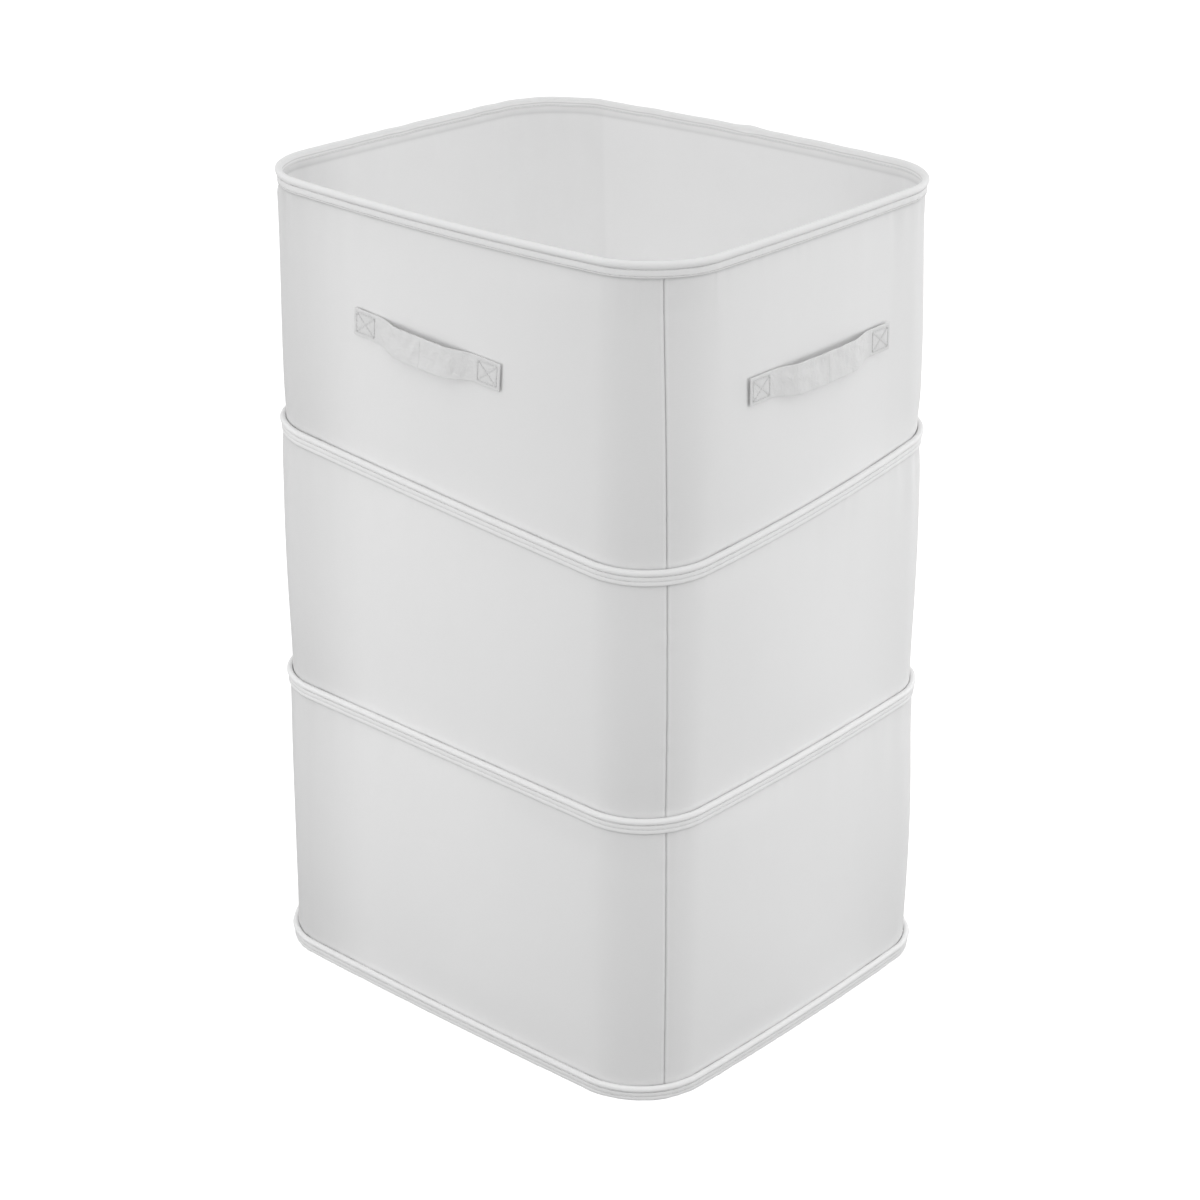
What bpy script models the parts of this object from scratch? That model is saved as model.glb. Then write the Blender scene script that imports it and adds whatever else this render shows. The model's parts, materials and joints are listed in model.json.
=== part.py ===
"""Collapsible three-tier fabric storage bin.

Four wire hoops, each sewn into a binding tape, carry three cloth wall tiers.
The base is a stiff board between two cloth layers, and the top tier has a
strap handle on each side. Metres, +Z up, origin at the bottom centre.
"""

import math

import bmesh
import bpy
from mathutils import Matrix, Vector

# ---------------------------------------------------------------- driving sizes
BODY_WIDTH = 0.378            # rim hoop's outline along X, on the wire's centre line
BODY_DEPTH = 0.323            # rim hoop's outline along Y, on the wire's centre line
CORNER_RADIUS = 0.050         # of every hoop, in plan

LOWER_TIER_HEIGHT = 0.2076    # base hoop to lower hoop
MIDDLE_TIER_HEIGHT = 0.1852   # lower hoop to upper hoop
UPPER_TIER_HEIGHT = 0.1897    # upper hoop to rim hoop

# How much wider and deeper than the rim hoop each other hoop is, how far a hoop's
# sides bow out between its corners (along X and Y), and how far it sways out of
# level: the front right and back left corners hang low, the other two stand high.
UPPER_SPREAD = (0.010, -0.001)
LOWER_SPREAD = (0.006, 0.001)
BASE_SPREAD = (0.011, 0.014)
RIM_BOW = (0.003, 0.011)
UPPER_BOW = (0.010, 0.002)
LOWER_BOW = (0.005, 0.000)
BASE_BOW = (0.005, 0.003)
RIM_SWAY = 0.001
UPPER_SWAY = 0.015
LOWER_SWAY = 0.004

CORNER_STEPS = 5              # facets round a hoop's corner
SIDE_STEPS = 4                # facets along a hoop's side, an even number

# ---------------------------------------------------------------- hoops and ferrules
WIRE_RADIUS = 0.0012
WIRE_END_GAP = 0.0010         # between the wire's two ends, inside the ferrule
FERRULE_LENGTH = 0.014
FERRULE_WALL = 0.00035
FERRULE_CLEARANCE = 0.0003    # round the wire
FERRULE_FACETS = 16

# ---------------------------------------------------------------- cloth
GAP = 0.0003                  # between pieces that touch
TAPE_THICKNESS = 0.0007
WALL_THICKNESS = 0.0012
CHANNEL_SLACK = 0.00045       # between a ferrule and the tape's channel
CHANNEL_START = 130           # degrees, where a tape's wrap over the wire begins, inside
CHANNEL_END = -70             # and where it turns down into the stitched strip
ROLL_START = 205              # the rim's roll begins lower on the inside
CHANNEL_STEPS = 5
ROLL_STEPS = 7
ROLL_EXTRA = 0.00045          # the rim's roll is fuller than the other channels
STRIP_TOP_DROP = 0.0034       # a stitched strip's top edge below the wire's centre
BAND_DROP = 0.0086            # a band's lower edge below the wire's centre
RIM_DROP = 0.0081             # the rim band's lower edge, outside
RIM_INNER_TOP_DROP = 0.0024   # the rim's inner strip, below the wire's centre
RIM_INNER_DROP = 0.0050
WALL_TOP_DROP = 0.0028        # a wall's top edge below its upper hoop
WALL_TUCK = 0.0070            # a wall's bottom edge below its lower hoop
BAND_SHOULDER = 0.0050        # a wall stays upright to this far above its lower hoop
BAND_APRON = 0.0120           # and from this far below its upper hoop
WALL_BULGE = 0.0015           # outwards at mid height

# ---------------------------------------------------------------- base
PANEL_THICKNESS = 0.0010
BOARD_THICKNESS = 0.0030
LINING_THICKNESS = 0.0008
BOARD_CLEARANCE = 0.0005      # between the board's edge and the wall

# ---------------------------------------------------------------- strap handles
HANDLE_RISE = 0.0986          # a strap's nominal centre line above the upper hoop
STRAP_WIDTH = 0.019
STRAP_THICKNESS = 0.0020
STRAP_END_LENGTH = 0.022      # the sewn part at each end
STRAP_EDGE_ROUND = 0.0004
GRIP_SAG = 0.003              # how far the free part hangs down at its middle
GRIP_STEPS = 12
# face: turn about Z in degrees, shift along the face, lift above the nominal height,
# tilt in degrees, free span, and how far the free part stands out at its middle
HANDLES = {
    "front": (0, -0.007, 0.004, 4.5, 0.090, 0.008),
    "right": (90, 0.0, -0.002, -1.0, 0.104, 0.0075),
    "back": (180, -0.007, 0.004, 4.5, 0.090, 0.008),
    "left": (270, 0.0, -0.002, -1.0, 0.104, 0.0075),
}

# ---------------------------------------------------------------- worked out from those
FERRULE_OUTER = WIRE_RADIUS + FERRULE_CLEARANCE + FERRULE_WALL
CHANNEL_RADIUS = FERRULE_OUTER + CHANNEL_SLACK + TAPE_THICKNESS / 2   # to the tape's middle
STRIP_REACH = TAPE_THICKNESS / 2                                      # strip, out from the wire
WALL_TOP_REACH = -GAP - WALL_THICKNESS / 2                            # behind the upper strip
WALL_TUCK_REACH = -FERRULE_OUTER - 2 * GAP - WALL_THICKNESS / 2       # inside the lower wire
RIM_INNER_REACH = WALL_TOP_REACH - WALL_THICKNESS / 2 - GAP - TAPE_THICKNESS / 2
PANEL_REACH = -GAP
BOARD_REACH = WALL_TUCK_REACH - WALL_THICKNESS / 2 - BOARD_CLEARANCE
BASE_HEIGHT = BAND_DROP
LOWER_HEIGHT = BASE_HEIGHT + LOWER_TIER_HEIGHT
UPPER_HEIGHT = LOWER_HEIGHT + MIDDLE_TIER_HEIGHT
RIM_HEIGHT = UPPER_HEIGHT + UPPER_TIER_HEIGHT
HANDLE_HEIGHT = UPPER_HEIGHT + HANDLE_RISE
BOARD_HEIGHT = PANEL_THICKNESS + GAP
LINING_HEIGHT = BOARD_HEIGHT + BOARD_THICKNESS + GAP

# finish name: colour, roughness, metallic
FINISHES = {
    "white_cloth": ((0.80, 0.80, 0.80), 0.85, 0.0),
    "white_tape": ((0.82, 0.82, 0.82), 0.75, 0.0),
    "white_strap": ((0.79, 0.79, 0.79), 0.80, 0.0),
    "spring_steel": ((0.42, 0.42, 0.44), 0.35, 1.0),
    "ferrule_steel": ((0.60, 0.60, 0.62), 0.30, 1.0),
    "grey_board": ((0.45, 0.43, 0.40), 0.90, 0.0),
}


# ---------------------------------------------------------------- a hoop's line
class Hoop:
    """A wire hoop's centre line: a rounded rectangle with bowed sides, slightly out of level."""

    def __init__(self, height, spread, bow, sway):
        self.height = height
        self.half_x = (BODY_WIDTH + spread[0]) / 2 - bow[0]
        self.half_y = (BODY_DEPTH + spread[1]) / 2 - bow[1]
        self.bow = bow
        self.sway = sway
        self.points = self.outline()
        self.normals = self.outward_normals()

    def bowed(self, flat):
        """A point of the plain rounded rectangle, moved out with the side's bow."""
        across, along = flat.x / self.half_x, flat.y / self.half_y
        return Vector((flat.x + self.bow[0] * across ** 3 * (1 - along ** 2),
                       flat.y + self.bow[1] * along ** 3 * (1 - across ** 2),
                       self.sway * across * along))

    def outline(self):
        """Points round the hoop, anticlockwise from the middle of the back side."""
        run_x = self.half_x - CORNER_RADIUS
        run_y = self.half_y - CORNER_RADIUS
        corners = []
        for centre, start in (((-run_x, run_y), 90), ((-run_x, -run_y), 180),
                              ((run_x, -run_y), 270), ((run_x, run_y), 0)):
            angles = [math.radians(start + 90 * step / CORNER_STEPS) for step in range(CORNER_STEPS + 1)]
            corners.append([Vector((centre[0] + CORNER_RADIUS * math.cos(angle),
                                    centre[1] + CORNER_RADIUS * math.sin(angle), 0)) for angle in angles])
        flat = []
        for corner, following in zip(corners, corners[1:] + corners[:1]):
            flat += corner
            flat += [corner[-1].lerp(following[0], step / SIDE_STEPS) for step in range(1, SIDE_STEPS)]
        middle = SIDE_STEPS // 2
        flat = flat[-middle:] + flat[:-middle]
        return [self.bowed(point) for point in flat]

    def outward_normals(self):
        """Unit normals in plan, pointing out of the hoop."""
        ahead = self.points[1:] + self.points[:1]
        behind = self.points[-1:] + self.points[:-1]
        return [Vector((a.y - b.y, b.x - a.x, 0)).normalized() for a, b in zip(ahead, behind)]

    def ring(self, reach, rise):
        """The outline moved out by reach and up by rise, in the hoop's own frame."""
        return [point + normal * reach + Vector((0, 0, rise))
                for point, normal in zip(self.points, self.normals)]

    def side_reach(self, along_x):
        """Distance from the axis to the middle of the +X side, or of the +Y side."""
        return self.half_x + self.bow[0] if along_x else self.half_y + self.bow[1]


# ---------------------------------------------------------------- building tools
def finish(name):
    """The named Principled material, made once."""
    material = bpy.data.materials.get(name)
    if material is None:
        colour, roughness, metallic = FINISHES[name]
        material = bpy.data.materials.new(name)
        material.use_nodes = True
        shader = material.node_tree.nodes["Principled BSDF"]
        shader.inputs["Base Color"].default_value = (*colour, 1.0)
        shader.inputs["Roughness"].default_value = roughness
        shader.inputs["Metallic"].default_value = metallic
        material.diffuse_color = (*colour, 1.0)
    return material


def add_object(name, data, parent, material):
    """A new object in the bin's collection, under its parent empty, with its finish."""
    piece = bpy.data.objects.new(name, data)
    bpy.data.collections[COLLECTION].objects.link(piece)
    piece.parent = parent
    data.materials.append(finish(material))
    return piece


def add_empty(name, parent, location, rotation=(0, 0, 0)):
    """A frame that pieces are parented to."""
    empty = bpy.data.objects.new(name, None)
    bpy.data.collections[COLLECTION].objects.link(empty)
    empty.parent = parent
    empty.location = location
    empty.rotation_euler = rotation
    return empty


def add_shell(name, rows, thickness, parent, material, closed=True):
    """An open surface through rows of points, given its thickness by Solidify."""
    mesh = bpy.data.meshes.new(name)
    sheet = bmesh.new()
    grid = [[sheet.verts.new(point) for point in row] for row in rows]
    columns = len(rows[0]) if closed else len(rows[0]) - 1
    for low, high in zip(grid, grid[1:]):
        for column in range(columns):
            after = (column + 1) % len(low)
            sheet.faces.new((low[column], low[after], high[after], high[column]))
    sheet.to_mesh(mesh)
    sheet.free()
    mesh.shade_smooth()
    piece = add_object(name, mesh, parent, material)
    wall = piece.modifiers.new("thickness", "SOLIDIFY")
    wall.thickness = thickness
    wall.offset = 0
    wall.use_even_offset = True
    return piece


def add_plate(name, outline, thickness, height, parent, material):
    """A flat sheet of the given outline, its underside at height."""
    curve = bpy.data.curves.new(name, "CURVE")
    curve.dimensions = "2D"
    curve.fill_mode = "BOTH"
    curve.extrude = thickness / 2
    spline = curve.splines.new("POLY")
    spline.points.add(len(outline) - 1)
    for point, corner in zip(spline.points, outline):
        point.co = (corner.x, corner.y, 0, 1)
    spline.use_cyclic_u = True
    piece = add_object(name, curve, parent, material)
    piece.location.z = height + thickness / 2
    return piece


# ---------------------------------------------------------------- hoops
def add_wire(name, hoop, parent):
    """The hoop's wire: one bent length, its two ends butted inside the ferrule."""
    start = hoop.points[0]
    first = start + (hoop.points[1] - start).normalized() * WIRE_END_GAP / 2
    last = start + (hoop.points[-1] - start).normalized() * WIRE_END_GAP / 2
    route = [first] + hoop.points[1:] + [last]
    curve = bpy.data.curves.new(name, "CURVE")
    curve.dimensions = "3D"
    curve.bevel_depth = WIRE_RADIUS
    curve.bevel_resolution = 1
    curve.use_fill_caps = True
    spline = curve.splines.new("POLY")
    spline.points.add(len(route) - 1)
    for point, place in zip(spline.points, route):
        point.co = (*place, 1)
    return add_object(name, curve, parent, "spring_steel")


def add_ferrule(name, hoop, parent):
    """The crimped sleeve over the wire's two ends, at the middle of the back side."""
    mesh = bpy.data.meshes.new(name)
    sleeve = bmesh.new()
    radius = FERRULE_OUTER - FERRULE_WALL / 2
    bmesh.ops.create_cone(sleeve, cap_ends=False, segments=FERRULE_FACETS, radius1=radius,
                          radius2=radius, depth=FERRULE_LENGTH, matrix=Matrix.Rotation(math.pi / 2, 4, "Y"))
    sleeve.to_mesh(mesh)
    sleeve.free()
    mesh.shade_smooth()
    piece = add_object(name, mesh, parent, "ferrule_steel")
    piece.location = hoop.points[0]
    wire_slope = hoop.points[1] - hoop.points[-1]
    piece.rotation_euler.y = -math.atan2(wire_slope.z, wire_slope.x)
    wall = piece.modifiers.new("thickness", "SOLIDIFY")
    wall.thickness = FERRULE_WALL
    wall.offset = 0
    wall.use_even_offset = True
    return piece


# ---------------------------------------------------------------- binding tapes
def wrap(radius, start, end, steps):
    """Reach and rise of points round the wire, from one angle to another in degrees."""
    angles = [math.radians(start + (end - start) * step / steps) for step in range(steps + 1)]
    return [(radius * math.cos(angle), radius * math.sin(angle)) for angle in angles]


def add_band_tape(name, hoop, parent):
    """A band's tape: a channel over the wire and a stitched strip below it."""
    profile = wrap(CHANNEL_RADIUS, CHANNEL_START, CHANNEL_END, CHANNEL_STEPS)
    profile += [(STRIP_REACH, -STRIP_TOP_DROP), (STRIP_REACH, -BAND_DROP)]
    rows = [hoop.ring(reach, rise) for reach, rise in reversed(profile)]
    return add_shell(name, rows, TAPE_THICKNESS, parent, "white_tape")


def add_rim_tape(name, hoop, parent):
    """The rim's tape: rolled over the wire, with a strip outside and a short one inside."""
    profile = [(RIM_INNER_REACH, -RIM_INNER_DROP), (RIM_INNER_REACH, -RIM_INNER_TOP_DROP)]
    profile += wrap(CHANNEL_RADIUS + ROLL_EXTRA, ROLL_START, CHANNEL_END, ROLL_STEPS)
    profile += [(STRIP_REACH, -STRIP_TOP_DROP - ROLL_EXTRA), (STRIP_REACH, -RIM_DROP)]
    rows = [hoop.ring(reach, rise) for reach, rise in reversed(profile)]
    return add_shell(name, rows, TAPE_THICKNESS, parent, "white_tape")


# ---------------------------------------------------------------- cloth walls
def add_wall(name, lower, upper, parent):
    """A tier's cloth, from inside its lower band up to behind its upper band's strip."""
    step = Vector((0, 0, upper.height - lower.height))
    shoulder = lower.ring(WALL_TUCK_REACH, BAND_SHOULDER)
    apron = [point + step for point in upper.ring(WALL_TOP_REACH, -BAND_APRON)]
    waist = [low.lerp(high, 0.5) + normal * WALL_BULGE
             for low, high, normal in zip(shoulder, apron, lower.normals)]
    rows = [
        lower.ring(WALL_TUCK_REACH, -WALL_TUCK),
        shoulder,
        waist,
        apron,
        [point + step for point in upper.ring(WALL_TOP_REACH, -WALL_TOP_DROP)],
    ]
    return add_shell(name, rows, WALL_THICKNESS, parent, "white_cloth")


def wall_reach(lower, upper, along_x, height):
    """How far out a tier's cloth stands at the middle of a side, at a height above the floor."""
    low = lower.side_reach(along_x) + WALL_TUCK_REACH
    high = upper.side_reach(along_x) + WALL_TOP_REACH
    low_height = lower.height + BAND_SHOULDER
    high_height = upper.height - BAND_APRON
    waist = (low + high) / 2 + WALL_BULGE
    share = (height - low_height) / (high_height - low_height)
    if share < 0.5:
        middle = low + (waist - low) * share * 2
    else:
        middle = waist + (high - waist) * (share * 2 - 1)
    return middle + WALL_THICKNESS / 2


# ---------------------------------------------------------------- strap handles
def add_strap_end(name, side, span, parent):
    """A strap's sewn end, flat on the wall, beside the free part."""
    mesh = bpy.data.meshes.new(name)
    block = bmesh.new()
    bmesh.ops.create_cube(block, size=1)
    bmesh.ops.scale(block, vec=(STRAP_END_LENGTH, STRAP_THICKNESS, STRAP_WIDTH), verts=block.verts)
    block.to_mesh(mesh)
    block.free()
    piece = add_object(name, mesh, parent, "white_strap")
    piece.location = (side * (span / 2 + GAP + STRAP_END_LENGTH / 2), 0, -STRAP_WIDTH / 2)
    rounding = piece.modifiers.new("rounded edges", "BEVEL")
    rounding.width = STRAP_EDGE_ROUND
    rounding.segments = 1
    return piece


def add_grip(name, span, bow, parent):
    """A strap's free part: it stands out and sags towards its middle. Its frame's X is the hinge."""
    upper_edge = []
    for step in range(GRIP_STEPS + 1):
        share = step / GRIP_STEPS
        swell = math.sin(math.pi * share) ** 2
        upper_edge.append(Vector(((share - 0.5) * span, -bow * swell, -GRIP_SAG * swell)))
    lower_edge = [point - Vector((0, 0, STRAP_WIDTH)) for point in upper_edge]
    return add_shell(name, [lower_edge, upper_edge], STRAP_THICKNESS, parent, "white_strap", closed=False)


def add_handle(face, lower, upper, parent):
    """One strap handle: two sewn ends and the grip, which hinges on its upper edge."""
    turn, shift, lift, tilt, span, bow = HANDLES[face]
    turn = math.radians(turn)
    along_x = face in ("right", "left")
    centre = HANDLE_HEIGHT + lift
    levels = (centre - STRAP_WIDTH / 2, (lower.height + upper.height) / 2, centre + STRAP_WIDTH / 2)
    reach = max(wall_reach(lower, upper, along_x, level) for level in levels)
    reach += GAP + STRAP_THICKNESS / 2
    place = Matrix.Rotation(turn, 3, "Z") @ Vector((shift, -reach, 0))
    place.z = centre + STRAP_WIDTH / 2 - HANDLE_HEIGHT
    hinge = add_empty(face + "_handle_hinge", parent, place, (0, math.radians(tilt), turn))
    add_strap_end(face + "_strap_end_a", -1, span, hinge)
    add_strap_end(face + "_strap_end_b", 1, span, hinge)
    add_grip(face + "_strap_grip", span, bow, hinge)


# ---------------------------------------------------------------- the whole bin
COLLECTION = "fabric_storage_bin"


def build_bin():
    """Makes every piece of the bin, from the base up."""
    collection = bpy.data.collections.new(COLLECTION)
    bpy.context.scene.collection.children.link(collection)

    base = Hoop(BASE_HEIGHT, BASE_SPREAD, BASE_BOW, 0.0)
    lower = Hoop(LOWER_HEIGHT, LOWER_SPREAD, LOWER_BOW, LOWER_SWAY)
    upper = Hoop(UPPER_HEIGHT, UPPER_SPREAD, UPPER_BOW, UPPER_SWAY)
    rim = Hoop(RIM_HEIGHT, (0.0, 0.0), RIM_BOW, RIM_SWAY)

    frames = {}
    below = None
    for name, hoop in (("base", base), ("lower", lower), ("upper", upper), ("rim", rim)):
        rise = hoop.height - (below.height if below else 0)
        parent = frames[below.name] if below else None
        frames[name] = add_empty(name + "_frame", parent, (0, 0, rise))
        hoop.name = name
        below = hoop
        add_wire(name + "_hoop", hoop, frames[name])
        add_ferrule(name + "_ferrule", hoop, frames[name])

    add_band_tape("base_tape", base, frames["base"])
    add_band_tape("lower_tape", lower, frames["lower"])
    add_band_tape("upper_tape", upper, frames["upper"])
    add_rim_tape("rim_tape", rim, frames["rim"])

    add_wall("lower_wall", base, lower, frames["base"])
    add_wall("middle_wall", lower, upper, frames["lower"])
    add_wall("upper_wall", upper, rim, frames["upper"])

    board_outline = base.ring(BOARD_REACH, 0)
    floor = -BASE_HEIGHT
    add_plate("base_panel", base.ring(PANEL_REACH, 0), PANEL_THICKNESS, floor, frames["base"], "white_cloth")
    add_plate("base_board", board_outline, BOARD_THICKNESS, floor + BOARD_HEIGHT, frames["base"], "grey_board")
    add_plate("base_lining", board_outline, LINING_THICKNESS, floor + LINING_HEIGHT, frames["base"],
              "white_cloth")

    handles = add_empty("handles_frame", frames["upper"], (0, 0, HANDLE_RISE))
    for face in HANDLES:
        add_handle(face, upper, rim, handles)


for leftover in list(bpy.data.objects):
    bpy.data.objects.remove(leftover)
build_bin()
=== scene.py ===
"""Looks of the collapsible three-tier fabric storage bin.

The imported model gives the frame: four wire hoops on their bodies, with a sliding fold
between each pair. This script makes the fine cloth walls, the sewn binding tapes with
their stitches, the strap handles, the layered base, the wires and ferrules, and the
finishes. Metres, +Z up, origin at the middle of the underside.
"""

import json
import logging
import math
from dataclasses import dataclass, field
from enum import Enum

import bpy
import numpy as np
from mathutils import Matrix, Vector

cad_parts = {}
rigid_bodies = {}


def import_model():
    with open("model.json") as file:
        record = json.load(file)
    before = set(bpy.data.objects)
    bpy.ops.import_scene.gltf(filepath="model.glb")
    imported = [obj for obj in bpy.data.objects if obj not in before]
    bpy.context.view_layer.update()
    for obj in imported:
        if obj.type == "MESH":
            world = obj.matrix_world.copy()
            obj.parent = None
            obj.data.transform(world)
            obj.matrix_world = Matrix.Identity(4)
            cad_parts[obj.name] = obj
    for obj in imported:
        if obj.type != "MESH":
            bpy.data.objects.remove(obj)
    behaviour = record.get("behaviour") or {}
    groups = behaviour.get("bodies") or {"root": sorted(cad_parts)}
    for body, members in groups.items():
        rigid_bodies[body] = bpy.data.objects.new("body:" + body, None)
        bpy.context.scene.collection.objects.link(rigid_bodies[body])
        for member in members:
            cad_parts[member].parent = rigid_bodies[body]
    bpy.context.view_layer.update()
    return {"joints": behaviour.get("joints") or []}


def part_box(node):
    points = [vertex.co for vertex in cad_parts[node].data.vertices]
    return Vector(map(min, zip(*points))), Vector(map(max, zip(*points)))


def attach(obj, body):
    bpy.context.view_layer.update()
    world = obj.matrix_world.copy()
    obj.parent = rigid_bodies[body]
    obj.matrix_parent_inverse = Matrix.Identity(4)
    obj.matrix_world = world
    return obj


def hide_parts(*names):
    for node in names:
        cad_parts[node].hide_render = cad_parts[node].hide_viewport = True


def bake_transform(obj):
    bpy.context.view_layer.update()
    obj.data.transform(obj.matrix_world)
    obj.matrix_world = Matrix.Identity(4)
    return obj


for leftover in list(bpy.data.objects):
    bpy.data.objects.remove(leftover)

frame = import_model()

logging.basicConfig(level=logging.INFO, format="%(message)s")
log = logging.getLogger("storage_bin")

CLOTH_MAP = "cloth"           # UV map in metres: along the cloth, and across it
SHADE_MAP = "crease"          # attribute of painted shade: 1 where the painted shade is darkest, in creases, grooves and stitch lines, against seams and bands and over the walls' corners; 0 on open cloth

WIRE_RADIUS = 0.0012
CORNER_RADIUS = 0.050         # of every hoop, in plan
TAPE_THICKNESS = 0.0007
WALL_THICKNESS = 0.0012
THREAD_RADIUS = 0.00024
STITCH_PITCH = 0.0032
STITCH_LENGTH = 0.0025
FLOOR_CLEARANCE = 0.0006      # lowest that the base tape hangs
BAND_DROP = 0.0086            # a band's lower edge below its wire
FERRULE_PLACE = 7.5           # its station, at the middle of the back side
FERRULE_SWELL = 0.45          # how much wider the tape's channel is over the ferrule
SEAM_TAPE_HALF = 0.0065       # half its width
SEAM_TAPE_DEPTH = 0.00115     # inside the wall's middle
SEAM_TAPE_THICKNESS = 0.0005
BOW_CLIMB = 0.024             # of each end of a strap's free part, where it leaves the wall
QUILT_FULL = 0.00020          # the dip at which the painted shade along a strap's stitch lines is darkest
QUILT_DEPTH = 0.00022         # how far a row of stitches sinks into a strap
SEAM_STATION = 4.66           # where the walls' upright seam stands, in the front right corner
SEGMENTS = 8                  # a hoop's four corners and four sides
CORNER_COLUMNS = 40
SIDE_COLUMNS = 88

Array = np.ndarray
Piece = bpy.types.Object
Material = bpy.types.Material
Tree = bpy.types.NodeTree
Socket = bpy.types.NodeSocket
Pair = tuple[float, float]
Triple = tuple[float, float, float]


class Face(Enum):
    """The bin's four faces, with the turn of each about Z in degrees."""

    FRONT = 0
    RIGHT = 90
    BACK = 180
    LEFT = 270

    @property
    def word(self) -> str:
        """The face's name as the CAD nodes and joints spell it."""
        return self.name.lower()


# ---- shaping tools
@dataclass(frozen=True)
class Ripple:
    """A low cloth ripple: the sum of many sine waves of drawn length, heading and phase.

    With a loop length, each wave fits the loop a whole number of times, so it closes.
    """

    height: float             # root mean square height
    longest: float
    shortest: float
    seed: int
    waves: int = 12
    upright: float = 0.0      # 1 keeps every crest straight up, 0 lets it lie any way
    loop: float = 0.0

    def __call__(self, along: Array, up: Array) -> Array:
        """Height = sum of sin(kx * along + ky * up + phase), scaled to the ripple's height.

        Args:
            along: distance along the cloth.
            up: distance across the cloth, the same shape.

        Returns:
            The height at each point.
        """
        draw = np.random.default_rng(self.seed)
        length = draw.uniform(self.shortest, self.longest, self.waves)
        heading = draw.uniform(-1, 1, self.waves) * (1 - self.upright) * math.pi / 2
        phase = draw.uniform(0, 2 * math.pi, self.waves)
        wave_along = 2 * math.pi * np.cos(heading) / length
        if self.loop:
            cycles = np.maximum(1, np.round(wave_along * self.loop / (2 * math.pi)))
            wave_along = cycles * 2 * math.pi / self.loop
        wave_up = 2 * math.pi * np.sin(heading) / length
        angle = along[..., None] * wave_along + up[..., None] * wave_up + phase
        return self.height * np.sin(angle).sum(-1) / math.sqrt(self.waves / 2)


def smooth_step(value: Array, low: float, high: float) -> Array:
    """0 below low, 1 above high, and 3t^2 - 2t^3 between them."""
    share = np.clip((value - low) / (high - low), 0, 1)
    return share * share * (3 - 2 * share)


def bell(distance: Array, width: float) -> Array:
    """exp(-(distance / width)^2): 1 at nought, fading over the width."""
    return np.exp(-((distance / width) ** 2))


def make_mesh(name: str, points: Array, faces: Array, uv: Array | None = None,
              crease: Array | None = None, more_faces: list | None = None) -> Piece:
    """A mesh object from whole arrays.

    Args:
        name: the piece's name.
        points: vertex places, (n, 3).
        faces: four vertex numbers a face, (m, 4), anticlockwise seen from outside.
        uv: a place on the cloth for each corner of those faces, (m, 4, 2).
        crease: painted shade, a value from 0 to 1 for each vertex.
        more_faces: a few extra faces with any number of corners.

    Returns:
        The object, linked to the scene and smooth shaded.
    """
    mesh = bpy.data.meshes.new(name)
    if more_faces:
        mesh.from_pydata(points.tolist(), [], faces.tolist() + more_faces)
    else:
        mesh.vertices.add(len(points))
        mesh.vertices.foreach_set("co", points.astype(np.float32).ravel())
        mesh.loops.add(faces.size)
        mesh.loops.foreach_set("vertex_index", faces.astype(np.int32).ravel())
        mesh.polygons.add(len(faces))
        mesh.polygons.foreach_set("loop_start", np.arange(0, faces.size, 4, dtype=np.int32))
        mesh.update(calc_edges=True)
    if uv is not None:
        layer = mesh.uv_layers.new(name=CLOTH_MAP)
        corners = np.zeros((len(mesh.loops), 2), np.float32)
        corners[:faces.size] = uv.reshape(-1, 2)
        layer.data.foreach_set("uv", corners.ravel())
    if crease is not None:
        mesh.attributes.new(SHADE_MAP, "FLOAT", "POINT").data.foreach_set(
            "value", np.clip(crease, 0, 1).astype(np.float32).ravel())
    mesh.shade_smooth()
    piece = bpy.data.objects.new(name, mesh)
    bpy.context.scene.collection.objects.link(piece)
    return piece


def grid_mesh(name: str, grid: Array, cloth: Array, closed: bool = False, tube: bool = False,
              crease: Array | None = None, more_faces: list | None = None) -> Piece:
    """A surface through a grid of points.

    Args:
        name: the piece's name.
        grid: places, (rows, columns, 3); columns run anticlockwise and rows upwards outside.
        cloth: each point's place on the flat cloth, (rows, columns + 1, 2) if closed.
        closed: the last column joins the first.
        tube: the last row joins the first.
        crease: painted shade, a value for each point, (rows, columns).
        more_faces: extra faces by vertex number.

    Returns:
        The object.
    """
    rows, columns = grid.shape[:2]
    row = np.arange(rows if tube else rows - 1)[:, None]
    column = np.arange(columns if closed else columns - 1)[None, :]
    after, above = (column + 1) % columns, (row + 1) % rows
    faces = np.stack([row * columns + column, row * columns + after,
                      above * columns + after, above * columns + column], -1).reshape(-1, 4)
    high = row + 1 if not tube else above
    uv = np.stack([cloth[row, column], cloth[row, column + 1],
                   cloth[high, column + 1], cloth[high, column]], 2).reshape(-1, 4, 2)
    return make_mesh(name, grid.reshape(-1, 3), faces, uv,
                     None if crease is None else crease.reshape(-1), more_faces)


def end_caps(rows: int, columns: int) -> list:
    """The two faces that close a tube's first and last columns."""
    first = [row * columns for row in range(rows)]
    return [first, [corner + columns - 1 for corner in reversed(first)]]


def thicken(piece: Piece, thickness: float) -> Piece:
    """Gives an open sheet its thickness, half to each side."""
    wall = piece.modifiers.new("thickness", "SOLIDIFY")
    wall.thickness = thickness
    wall.offset = 0
    wall.use_even_offset = False      # even offsets throw spikes where a folded tier doubles back
    return piece


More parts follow.
